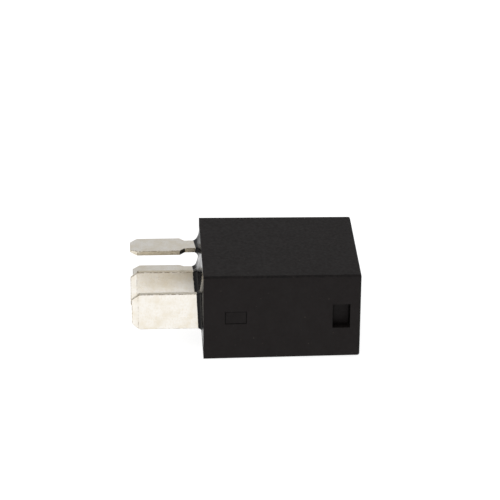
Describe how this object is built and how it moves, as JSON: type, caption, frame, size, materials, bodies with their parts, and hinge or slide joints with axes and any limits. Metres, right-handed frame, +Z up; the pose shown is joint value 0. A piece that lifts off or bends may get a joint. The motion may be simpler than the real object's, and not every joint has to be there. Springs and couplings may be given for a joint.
{
  "type": "plug-in relay",
  "caption": "Sealed plug-in changeover relay: black rectangular cover with grip recesses and flat blade terminals on one end, coil, yoke, hinged armature and contacts inside.",
  "frame": {"origin": "centre of the cover's rim, the plane that seats on the socket", "axes": "+X from the rim to the closed end, blades along -X; +Z up with the relay lying on a broad side; Y across the cover's width, with terminal 30 on the -Y side"},
  "size_m": [0.0371, 0.0226, 0.015],
  "materials": {
    "cover_plastic": "moulded black glass-filled plastic, fine matt grain",
    "base_plastic": "moulded black plastic",
    "sealing_resin": "cured black potting resin, glossy, climbing the blades",
    "tinned_brass": "satin tin plate over brass, stamped and coined",
    "plated_iron": "soft iron, dull nickel plate",
    "bobbin_plastic": "natural moulded plastic",
    "enamelled_copper": "enamelled copper wire",
    "coil_tape": "amber film tape",
    "spring_bronze": "rolled bronze leaf",
    "rivet_steel": "upset rivet heads",
    "contact_silver": "silver alloy contact faces",
    "resistor_coat": "lacquered resistor body",
    "tinned_copper": "tinned wire",
    "solder": "smooth solder"
  },
  "bodies": {
    "housing": {"cover": "cover_plastic", "base": "base_plastic", "sealing_resin": "sealing_resin", "terminal_30": "tinned_brass", "terminal_87": "tinned_brass", "terminal_87a": "tinned_brass", "terminal_85": "tinned_brass", "terminal_86": "tinned_brass", "yoke": "plated_iron", "core": "plated_iron", "coil_bobbin": "bobbin_plastic", "coil_winding": "enamelled_copper", "coil_tape": "coil_tape", "spring_yoke_rivets": "rivet_steel", "contact_no": "contact_silver", "contact_nc": "contact_silver", "resistor_body": "resistor_coat", "resistor_leads": "tinned_copper", "coil_leads": "enamelled_copper", "solder_joints": "solder"},
    "armature_set": {"armature": "plated_iron", "armature_spring": "spring_bronze", "spring_armature_rivets": "rivet_steel", "moving_contact": "contact_silver"}
  },
  "joints": [
    {"name": "armature_hinge", "type": "hinge", "parent": "housing", "child": "armature_set", "pos_m": [0.0178, -0.00784, 0], "axis": [0, 0, 1], "range_deg": [0, 3.15], "stiffness_Nm_per_rad": 0.0005, "springref_deg": -28.65, "deforming": ["armature_spring"]}
  ]
}
